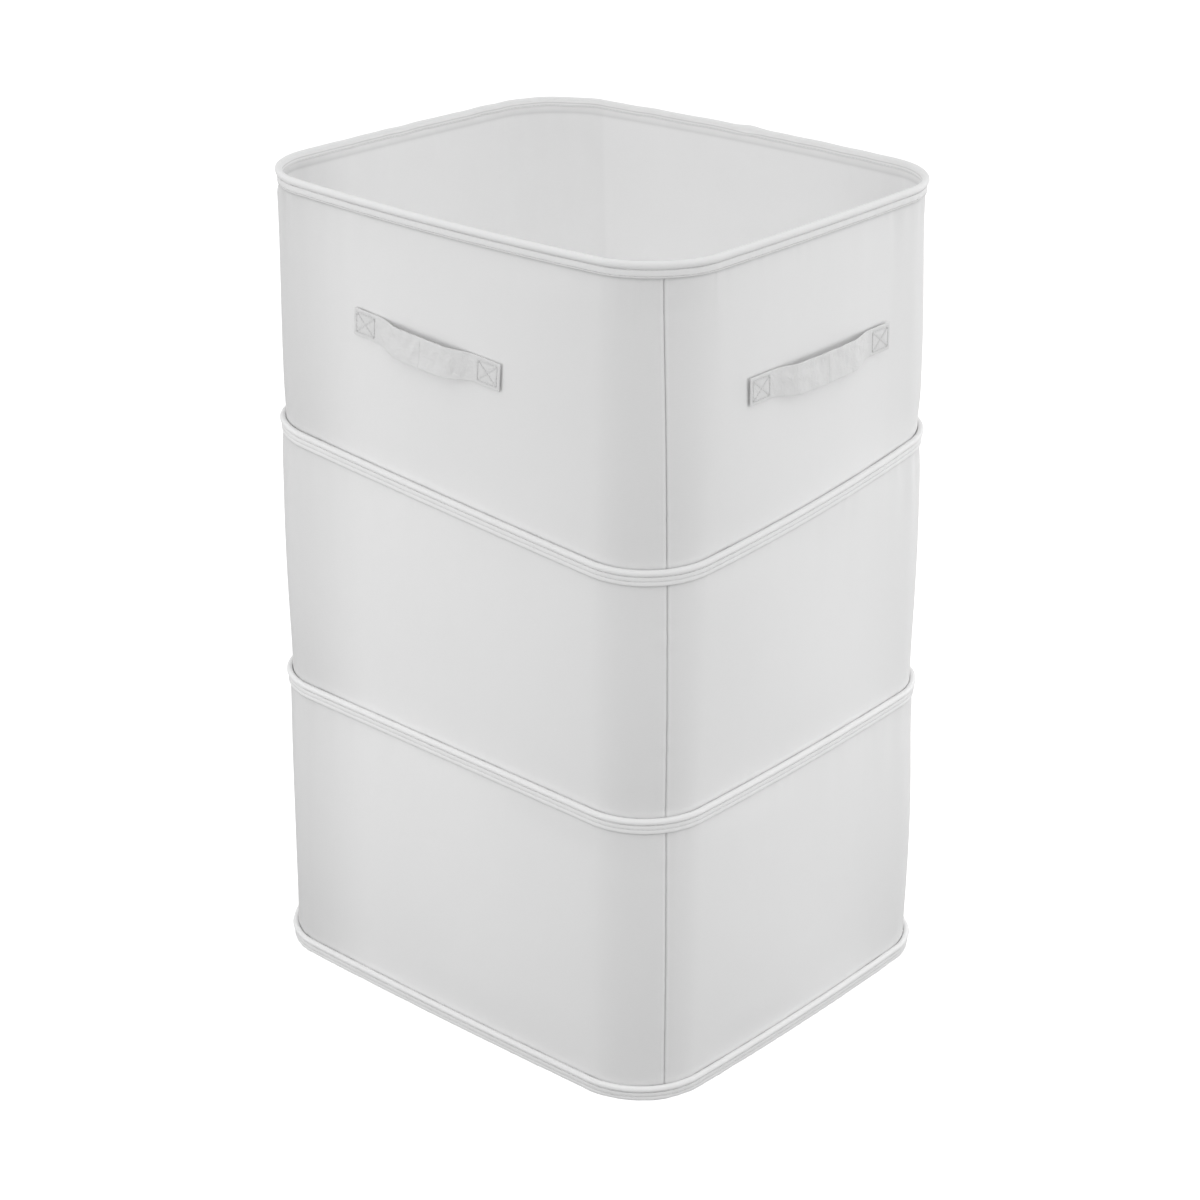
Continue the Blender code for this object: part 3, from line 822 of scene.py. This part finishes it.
# ---- cloth walls
@dataclass
class ClothWall:
    """One tier's cloth, stretched from inside its lower band up to behind its upper band."""

    name: str
    lower: HoopLine
    upper: HoopLine
    lower_body: str
    upper_body: str
    seed: int
    top_reach: float = -0.0009
    tuck_reach: float = -0.00290
    top_drop: float = 0.0028
    apron: float = 0.0120
    shoulder: float = 0.0050
    tuck: float = 0.0070
    bulge: float = 0.0015
    corner_folds: float = 1.0         # strength of the long soft folds beside the front left corner

    def rows(self) -> Array:
        """Each row's share of the way up, its rise on the lower hoop and its rise on the upper one.

        The share stays 0 on the upright shoulder, climbs to 1, and stays 1 on the apron.
        """
        low = np.linspace(-self.tuck, self.shoulder, 8)
        high = np.linspace(-self.apron, -self.top_drop, 7)
        ease = np.linspace(0, 1, 42)[1:-1]
        share = ease - 0.35 * np.sin(2 * math.pi * ease) / (2 * math.pi)
        return np.vstack([
            np.stack([0 * low, low, 0 * low - self.apron], -1),
            np.stack([share, 0 * share + self.shoulder, 0 * share - self.apron], -1),
            np.stack([0 * high + 1, 0 * high + self.shoulder, high], -1)])

    def surface(self, q: Array, beyond: float = 0.0) -> tuple:
        """The wall's middle layer.

        A point is the lower ring and the upper ring mixed by its share, plus the outward
        normal * (bulge * sin(pi * share) + relief), plus the layer's own offset.

        Args:
            q: stations.
            beyond: how far outside the middle layer, negative for inside.

        Returns:
            The grid of places, the distances along and up the cloth, and the painted shade mask.
        """
        share, low_rise, high_rise = (part[:, None] for part in self.rows().T)
        low = self.lower.ring(self.lower.slipped(q), np.full_like(low_rise, self.tuck_reach), low_rise)
        high = self.upper.ring(self.upper.slipped(q), np.full_like(high_rise, self.top_reach), high_rise)
        grid = low * (1 - share[..., None]) + high * share[..., None]
        along = self.cloth_length(q)
        up = grid[:, :, 2] - self.lower.line(q)[:, 2]
        drop = self.upper.line(q)[:, 2] - grid[:, :, 2]
        along = np.broadcast_to(along, up.shape)
        relief, crease = self.relief(q, along, up, drop)
        normal = self.lower.outward(q)
        grid = grid + normal * (self.bulge * np.sin(math.pi * share) + relief + beyond)[..., None]
        return grid, along, up, crease

    def cloth_length(self, q: Array) -> Array:
        """Distance round the wall from its seam to each station."""
        base = columns_round(fine=True)
        return np.interp(q, np.append(base, base[0] + SEGMENTS), self.lower.lengths(base))

    def relief(self, q: Array, along: Array, up: Array, drop: Array) -> tuple:
        """How the cloth departs from its smooth form.

        Broad billows, short gathers that fade away from each band, long folds beside the
        front left and back right corners, and the pinched seam with its puckers. Also a
        painted shade mask: darker along the seam, under the upper band and over the lower
        one, in the fold valleys and over the corners, most toward the tier's bottom, with
        a painted highlight on the seam's lips.

        Args:
            q: stations.
            along: distance round the cloth, from the seam.
            up: height above the lower hoop.
            drop: depth below the upper hoop.

        Returns:
            The outward departure and the painted shade mask.
        """
        loop = self.lower.lengths(columns_round(fine=True))[-1]
        open_cloth = smooth_step(up, 0.004, 0.030) * smooth_step(drop, 0.010, 0.030)
        billow = Ripple(0.00045, 0.300, 0.120, self.seed, upright=0.35, loop=loop)(along, up) * open_cloth
        gather = Ripple(0.00017, 0.017, 0.007, self.seed + 1, upright=0.92, loop=loop)(along, up)
        swing = Ripple(2.0, 0.200, 0.060, self.seed + 2, upright=1, loop=loop)(along, up)
        strength = 0.55 + 0.45 * np.sin(swing)
        near_top = np.exp(-np.maximum(drop - BAND_DROP, 0) / 0.014)
        near_base = np.exp(-np.maximum(up - 0.003, 0) / 0.009)
        gather = gather * strength * (near_top + 0.7 * near_base)
        turn = q % SEGMENTS
        folded = bell(turn - 2.55, 0.55) + 0.7 * bell(turn - 6.35, 0.6) + 0.35 * bell(turn - 0.5, 0.5)
        fold = Ripple(0.00085, 0.040, 0.016, self.seed + 3, upright=0.95, loop=loop)(along, up)
        reach_down = np.exp(-np.maximum(drop - BAND_DROP, 0) / 0.050)
        fold = fold * folded * reach_down * smooth_step(drop, 0.006, 0.014) * self.corner_folds
        beside = np.where(along > loop / 2, along - loop, along)
        lips = bell(np.abs(beside) - 0.0017, 0.0007)
        pinch = -0.0005 * bell(beside, 0.0042) - 0.0009 * bell(beside, 0.0008) + 0.00015 * lips
        lap = 0.00012 * np.where(beside < 0, np.exp(beside / 0.006), 0) * smooth_step(-beside, 0, 0.0008)
        pucker = Ripple(0.00016, 0.016, 0.008, self.seed + 4)(up, 0 * up) * bell(beside, 0.0075)
        sewn = smooth_step(drop, BAND_DROP, BAND_DROP + 0.0014) * smooth_step(up, 0.0026, 0.0050)
        # painted shade over the corners, most over the front left one, and more toward each tier's bottom,
        # where the light falls off
        front_left_shade = smooth_step(turn, 1.75, 2.05) * (1 - smooth_step(turn, 2.95, 3.25))
        far = smooth_step(turn, 5.70, 6.10) * (1 - smooth_step(turn, 6.95, 7.30))
        corner = 0.60 * front_left_shade + 0.25 * far + 0.30 * bell(turn - 4.45, 0.60) + 0.25 * bell(turn - 0.5, 0.62)
        painted_darkening = corner * (0.55 + 0.45 * np.exp(-np.maximum(up, 0) / 0.070))
        # painted shade in the fold valleys
        fold_valley_shade = 0.06 * np.clip(-fold / 0.0007, 0, 1.5)
        # painted shade along the seam, painted shadow under the upper band and over the lower one, and a
        # painted highlight on the seam's lips
        crease = (0.85 * bell(beside, 0.0008) - 0.10 * lips + 0.50 * bell(drop - BAND_DROP, 0.0012)
                  + 0.35 * bell(up - 0.0018, 0.0012) + painted_darkening + fold_valley_shade)
        return billow + gather * 0.8 + fold + (pinch + lap + pucker) * (0.35 + 0.65 * sewn), crease

    def build(self, finishes: Wardrobe) -> Piece:
        """Makes the wall and the strip that covers its seam inside, and returns the wall."""
        q = columns_round(fine=True)
        grid, along, up, crease = self.surface(q)
        loop = self.lower.lengths(q)[-1]
        around = np.concatenate([along, np.full((len(along), 1), loop)], 1)
        height = np.concatenate([up, up[:, :1]], 1)
        cloth = np.stack([around, height], -1)
        piece = grid_mesh(self.name + "_cloth", grid, cloth, closed=True, crease=crease)
        thicken(piece, WALL_THICKNESS)
        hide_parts(self.name)
        settle(piece, finishes.wall, None)
        strip = self.seam_strip(finishes)
        for part in (piece, strip):
            self.fold_between(part)
        return piece

    def seam_strip(self, finishes: Wardrobe) -> Piece:
        """The narrow tape that covers the seam inside: a strip of the wall's surface, 1.15 mm inside it."""
        across = np.linspace(-SEAM_TAPE_HALF, SEAM_TAPE_HALF, 15) / (CORNER_RADIUS * math.pi / 2)
        grid, along, up, crease = self.surface(SEAM_STATION + SEGMENTS + across, beyond=-SEAM_TAPE_DEPTH)
        keep = slice(4, -2)
        along = np.broadcast_to(np.linspace(0, 2 * SEAM_TAPE_HALF, 15), up.shape)
        # a weaker copy of the wall's painted shade
        piece = grid_mesh(self.name + "_seam_tape", grid[keep], np.stack([along, up], -1)[keep],
                          crease=0.3 * crease[keep])
        thicken(piece, SEAM_TAPE_THICKNESS)
        return settle(piece, finishes.tape, None)

    def fold_between(self, piece: Piece) -> None:
        """Bakes the piece's place into its mesh; it stays on no body."""
        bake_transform(piece)


# ---- base
@dataclass
class LayeredBase:
    """The base: cloth panel under, stiff board, and cloth lining over it."""

    line: HoopLine
    body: str = "base"
    rings: int = 40

    def plate(self, name: str, node: str, reach: float, round_edge: float,
              relief: Ripple | None) -> Piece:
        """A closed plate between its node's lowest and highest levels.

        A point is the outline moved in by reach and shrunk by its ring's share, at a level
        that drops to the plate's middle as a quarter ellipse over the rounded edge.

        Args:
            name: the piece's name.
            node: the CAD node that it stands for, which gives its levels.
            reach: its edge, out from the hoop's line.
            round_edge: width of the rounded edge.
            relief: a ripple of its top, if it has one.

        Returns:
            The piece.
        """
        low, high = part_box(node)
        middle, half = (low.z + high.z) / 2, (high.z - low.z) / 2
        q = columns_round(fine=False)[::2]
        outline = self.line.ring(q, [[reach]], [[0.0]])[0]
        reach_out = np.linalg.norm(outline[:, :2], axis=1).mean()
        turn = np.linspace(0, math.pi / 2, 6)
        edge = 1 - round_edge / reach_out * (1 - np.cos(turn))
        flat_share = np.linspace(edge[-1], 0.02, self.rings)[1:]
        shares = np.concatenate([edge, flat_share])
        lifts = np.concatenate([half * np.sin(turn), np.full(len(flat_share), half)])
        share = np.concatenate([shares[::-1], shares[1:]])[:, None]
        lift = np.concatenate([-lifts[::-1], lifts[1:]])[:, None]
        x, y = outline[None, :, 0] * share, outline[None, :, 1] * share
        level = middle + lift + 0 * x
        if relief:
            level = level + np.where(lift > 0, 1, 0) * relief(x, y) * smooth_step(1 - share, 0, 0.03)
        level = np.clip(level, low.z, high.z + 0.0004)
        grid = np.stack([x, y, level], -1)
        columns, rows = len(q), len(share)
        cloth = np.stack([np.concatenate([x, x[:, :1]], 1), np.concatenate([y, y[:, :1]], 1)], -1)
        caps = [list(range(columns))[::-1], [(rows - 1) * columns + c for c in range(columns)]]
        # painted shade: darker at the plate's outer edge, against the wall
        crease = bell(1 - share, 0.02) + 0 * x
        piece = grid_mesh(name, grid, cloth, closed=True, crease=crease, more_faces=caps)
        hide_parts(node)
        return piece

    def build(self, finishes: Wardrobe) -> None:
        """Makes the three layers."""
        panel = self.plate("base_under_cloth", "base_panel", -0.0004, 0.0008, None)
        board = self.plate("base_stiff_board", "base_board", -0.00425, 0.0004, None)
        lining = self.plate("base_lining_cloth", "base_lining", -0.00435, 0.0010,
                            Ripple(0.00012, 0.120, 0.035, 71))
        settle(panel, finishes.wall, self.body)
        settle(board, finishes.board, self.body)
        settle(lining, finishes.wall, self.body)


# ---- strap handles
@dataclass
class StrapHandle:
    """One carrying strap: two halves, each with a sewn end and half of the free grip."""

    face: Face
    span: float                       # free length between the sewn ends
    bow: float                        # how far the grip's middle stands out
    seed: int
    width: float = 0.019
    thickness: float = 0.0013
    end_length: float = 0.022
    sag: float = 0.0006
    flare: float = 0.0012             # how much further out the grip's lower edge stands
    spread: float = 0.0022            # how much wider the free part hangs than its sewn ends
    stitch_pitch: float = 0.0024
    bedding: float = 0.00020          # how far the sewn ends press toward the wall
    inset: float = 0.0026             # the sewn box's distance from the end's edges

    def axes(self) -> tuple:
        """The hinge's place and the strap's own axes: along, inward and up."""
        joint = next(j for j in frame["joints"] if j["name"] == self.face.word + "_grip_swing")
        origin = np.array(joint["pos_m"], float)
        along = -np.array(joint["axis"], float)
        inward = np.cross([0, 0, 1.0], along)
        inward /= np.linalg.norm(inward)
        return origin, along, inward, np.cross(along, inward)

    def to_world(self, local: Array) -> Array:
        """Places in the bin's frame, from places in the strap's own axes."""
        origin, along, inward, up = self.axes()
        return origin + local[..., :1] * along + local[..., 1:2] * inward + local[..., 2:] * up

    def middle_layer(self, x: Array, down: Array) -> tuple:
        """Where the strap's middle layer stands.

        The swell climbs smoothly at each end of the free part, and is 0.8 + 0.2 *
        sin(pi * share) between. It stands out by
        swell * (bow + flare * depth^2) and hangs by sag * swell + spread * depth * swell,
        where depth is the share of the way down the strap.

        Args:
            x: distance along the strap from its middle.
            down: share of the way down, 0 to 1.

        Returns:
            Outward distance and height, both in the strap's own axes.
        """
        share = np.clip(x / self.span + 0.5, 0, 1)
        climb = BOW_CLIMB / self.span
        swell = smooth_step(share, 0, climb) * smooth_step(1 - share, 0, climb) * (
            0.8 + 0.2 * np.sin(math.pi * share))
        out = swell * (self.bow + self.flare * down ** 2) - self.bedding
        height = -down * self.width - swell * (self.sag + self.spread * down)
        return out, height

    def half(self, side: int, finishes: Wardrobe) -> Piece:
        """One half strap: a flat oval section carried along it, crumpled a little.

        The section is (|cos|^0.35 * half thickness, sin-like across the width), so its
        faces are nearly flat and its two edges are round.

        Args:
            side: -1 for the half at the strap's own left, 1 for the other.
            finishes: the finishes.

        Returns:
            The piece.
        """
        far = self.span / 2 + self.end_length
        x = np.concatenate([np.linspace(-far, -self.span / 2, 40)[:-1], np.linspace(-self.span / 2, 0, 70)])
        angle = np.linspace(0, 2 * math.pi, 56, endpoint=False)[:, None]
        down = 0.5 - 0.5 * np.sign(np.sin(angle)) * np.abs(np.sin(angle)) ** 0.9
        round_off = np.sign(np.cos(angle)) * np.abs(np.cos(angle)) ** 0.35
        cosine = self.thickness / 2 * round_off
        x_grid = x[None, :] + 0 * angle
        out, height = self.middle_layer(x_grid, down + 0 * x_grid)
        free = smooth_step(x_grid, -self.span / 2, -self.span / 2 + 0.012)
        flat_place = side * x_grid
        fall = down * self.width + 0 * x_grid
        crumple = Ripple(0.00016, 0.020, 0.007, self.seed, waves=16)(flat_place, fall)
        quilt = self.quilt(x_grid, down)
        out = out + free * crumple + (1 - free) * quilt * (cosine > 0)
        end_taper = 1 - 0.55 * smooth_step(-x_grid, far - 0.0007, far)
        local = np.stack([flat_place, -(out + cosine * end_taper), height], -1)
        grid = self.to_world(local)
        cloth = np.stack([flat_place, fall], -1)
        # painted shade along the sunk stitch lines of the sewn end
        crease = (1 - free) * np.clip(-quilt / QUILT_FULL, 0, 1)
        grid, cloth, crease = (part[:, ::-side] for part in (grid, cloth, crease))
        letter = "a" if side < 0 else "b"
        name = f"{self.face.word}_strap_{letter}"
        piece = grid_mesh(name, grid, cloth, tube=True, crease=crease, more_faces=end_caps(*grid.shape[:2]))
        settle(piece, finishes.strap, None)
        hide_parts(f"{self.face.word}_strap_end_{letter}", f"{self.face.word}_strap_grip")
        start = self.to_world(np.array([side * self.span / 2, 0.0, 0.0]))
        end = self.to_world(np.array([side * (self.span / 2 - 0.016), 0.0, 0.0]))
        self.face.word + "_grip"
        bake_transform(piece)
        return piece

    def box_lines(self) -> list:
        """The sewn box and its cross, as (start, run) in (distance into the end, distance down)."""
        near, far = self.inset, self.end_length - self.inset
        low = self.width - near
        corners = np.array([(near, near), (far, near), (far, low), (near, low)])
        pairs = ((0, 1), (1, 2), (2, 3), (3, 0), (0, 2), (1, 3))
        return [(corners[first], corners[last] - corners[first]) for first, last in pairs]

    def quilt(self, x: Array, down: Array) -> Array:
        """The cloth's dip along the stitch lines: minus a bell of the distance to the nearest one."""
        into = -x - self.span / 2
        fall = down * self.width + 0 * x
        nearest = np.full(x.shape, 1.0)
        for start, run in self.box_lines():
            share = np.clip(((into - start[0]) * run[0] + (fall - start[1]) * run[1]) / (run @ run), 0, 1)
            gap = np.hypot(into - start[0] - share * run[0], fall - start[1] - share * run[1])
            nearest = np.minimum(nearest, gap)
        return -QUILT_DEPTH * bell(nearest, 0.0009)

    def stitches(self, side: int, finishes: Wardrobe) -> None:
        """The box and cross of stitches that hold one end, each an arch as on the tapes."""
        share = np.linspace(-1, 1, 5)
        length = self.stitch_pitch * 0.80
        routes = []
        for start, run in self.box_lines():
            count = max(2, round(float(np.linalg.norm(run)) / self.stitch_pitch))
            centre = start + run * ((np.arange(count) + 0.5) / count)[:, None]
            heading = run / np.linalg.norm(run)
            flat = centre[:, None, :] + share[None, :, None] * heading * length / 2
            lift = self.thickness / 2 - self.bedding - 0.00014 + 0.00024 * (1 - share ** 2)
            local = np.stack([side * (self.span / 2 + flat[..., 0]),
                              -np.broadcast_to(lift, flat.shape[:2]), -flat[..., 1]], -1)
            routes.append(self.to_world(local))
        routes = np.concatenate(routes)
        outward = np.broadcast_to(-self.axes()[2], routes.shape)
        letter = "a" if side < 0 else "b"
        piece = thread_mesh(f"{self.face.word}_strap_stitches_{letter}", routes, outward)
        settle(piece, finishes.thread, "handle_ends")

    def build(self, finishes: Wardrobe) -> None:
        """Makes both halves and their stitches."""
        for side in (-1, 1):
            piece = self.half(side, finishes)
            self.stitches(side, finishes)


# ---- studio
@dataclass
class Softbox:
    """A square area light, aimed at a point."""

    name: str
    place: Triple
    aim: Triple
    size: float
    power: float
    spread: float                     # degrees, how widely its light fans out

    def build(self) -> None:
        """Makes the light."""
        data = bpy.data.lights.new(self.name, "AREA")
        data.shape = "SQUARE"
        data.size = self.size
        data.energy = self.power
        data.spread = math.radians(self.spread)
        light = bpy.data.objects.new(self.name, data)
        light.location = self.place
        light.rotation_euler = (Vector(self.aim) - Vector(self.place)).to_track_quat("-Z", "Y").to_euler()
        light.visible_camera = False
        bpy.context.scene.collection.objects.link(light)


@dataclass
class Studio:
    """The white floor, the soft lights and the camera."""

    azimuth: float = 41.68            # degrees, round from the front towards the right
    elevation: float = 23.33
    distance: float = 2.026           # from the aim point on the bin's axis
    aim_height: float = 0.2752
    lens: float = 84.0
    surround: float = 0.81            # how bright the white surroundings are as a light

    def build(self) -> None:
        """Makes the whole studio."""
        self.floor()
        self.surroundings()
        self.lights()
        self.camera()

    def floor(self) -> None:
        """A wide white floor, a little luminous so that shadows stay pale."""
        side = 6.0
        corner = np.array([[-side, -side, 0], [side, -side, 0], [side, side, 0], [-side, side, 0]])
        piece = make_mesh("studio_floor", corner, np.array([[0, 1, 2, 3]]))
        material, tree, shader = new_material("studio white")
        shade = mottle(tree, object_place(tree), 2.0, 0.98, 0.02)
        tree.links.new(tinted(tree, (0.42, 0.42, 0.42), shade), shader.inputs["Base Color"])
        shader.inputs["Roughness"].default_value = 0.9
        shader.inputs["Specular IOR Level"].default_value = 0.0
        shader.inputs["Emission Color"].default_value = (1, 1, 1, 1)
        path = tree.nodes.new("ShaderNodeLightPath")
        glow = math_node(tree, "MULTIPLY", path.outputs["Is Camera Ray"], 0.90)
        tree.links.new(glow, shader.inputs["Emission Strength"])
        piece.data.materials.append(material)

    def surroundings(self) -> None:
        """White for the camera, and a dimmer white as the light that reaches the bin."""
        world = bpy.data.worlds.new("studio surround")
        bpy.context.scene.world = world
        world.use_nodes = True
        tree = world.node_tree
        background = tree.nodes["Background"]
        background.inputs["Color"].default_value = (1, 1, 1, 1)
        path = tree.nodes.new("ShaderNodeLightPath")
        strength = math_node(tree, "MULTIPLY_ADD", path.outputs["Is Camera Ray"], 1.02 - self.surround)
        strength.node.inputs[2].default_value = self.surround
        tree.links.new(strength, background.inputs["Strength"])

    def lights(self) -> None:
        """A softbox before each seen face, one overhead, and two weaker ones behind."""
        boxes = (
            Softbox("front softbox", (-0.30, -1.00, 0.40), (-0.01, -0.16, 0.31), 0.50, 1.55, 150.0),
            Softbox("right softbox", (1.05, 0.22, 0.40), (0.19, 0.02, 0.31), 0.50, 1.38, 150.0),
            Softbox("overhead softbox", (0.0, 0.0, 2.2), (0.0, 0.0, 0.3), 1.2, 1.0, 120.0),
            Softbox("inside fill", (0.0, 0.0, 0.10), (0.0, 0.0, 1.0), 0.22, 0.54, 160.0),
            Softbox("back softbox", (0.30, 1.00, 0.40), (0.01, 0.16, 0.31), 0.50, 1.30, 150.0),
            Softbox("left softbox", (-1.25, 0.30, 0.40), (-0.19, 0.02, 0.31), 0.50, 0.30, 150.0),
        )
        for box in boxes:
            box.build()

    def camera(self) -> None:
        """The camera stands at back * distance from the aim point, level, and looks at it."""
        turn, lift = math.radians(self.azimuth), math.radians(self.elevation)
        back = Vector((math.sin(turn) * math.cos(lift), -math.cos(turn) * math.cos(lift), math.sin(lift)))
        data = bpy.data.cameras.new("camera")
        data.lens = self.lens
        data.clip_start = 0.05
        camera = bpy.data.objects.new("camera", data)
        camera.location = Vector((0, 0, self.aim_height)) + back * self.distance
        camera.rotation_euler = (math.pi / 2 - lift, 0, turn)
        bpy.context.scene.collection.objects.link(camera)
        bpy.context.scene.camera = camera
        bpy.context.scene.view_settings.view_transform = "Standard"


# ---- the whole bin
class StorageBin:
    """The three-tier bin, put together from its hoops up."""

    def __init__(self) -> None:
        """Reads the four hoops' lines from the frame."""
        self.base = HoopLine.from_node("base_hoop", (0.005, 0.003), 0.0, 0.02)
        self.lower = HoopLine.from_node("lower_hoop", (0.005, 0.000), 0.004, 0.0)
        self.upper = HoopLine.from_node("upper_hoop", (0.010, 0.002), 0.015, -0.02)
        self.rim = HoopLine.from_node("rim_hoop", (0.003, 0.011), 0.001, -0.136)

    def build(self, finishes: Wardrobe) -> None:
        """Makes every piece."""
        rings = (("base", "base", self.base), ("lower", "lower_ring", self.lower),
                 ("upper", "upper_ring", self.upper), ("rim", "rim_ring", self.rim))
        for number, (name, body, line) in enumerate(rings):
            WireHoop(name, body, line).build(finishes)
            if name == "rim":
                tape = BindingTape(name, body, line, 40 + 5 * number, is_rim=True, channel=0.0021,
                                   grooves=(-0.0029, -0.0072), lower_edge=-0.0081)
            else:
                tape = BindingTape(name, body, line, 40 + 5 * number)
            tape.build(finishes)
        tiers = (("lower_wall", self.base, self.lower, "base", "lower_ring", 0.8),
                 ("middle_wall", self.lower, self.upper, "lower_ring", "upper_ring", 0.9),
                 ("upper_wall", self.upper, self.rim, "upper_ring", "rim_ring", 1.2))
        for number, (name, low, high, low_body, high_body, folds) in enumerate(tiers):
            wall = ClothWall(name, low, high, low_body, high_body, 100 + 10 * number, corner_folds=folds)
            wall.build(finishes)
        LayeredBase(self.base).build(finishes)
        for number, face in enumerate(Face):
            span, bow = (0.090, 0.0052) if face in (Face.FRONT, Face.BACK) else (0.104, 0.0050)
            StrapHandle(face, span, bow, 200 + number).build(finishes)


def main() -> None:
    """Builds the studio, the finishes and the bin, in order."""
    Studio().build()
    StorageBin().build(Wardrobe())


if __name__ == "__main__":
    main()
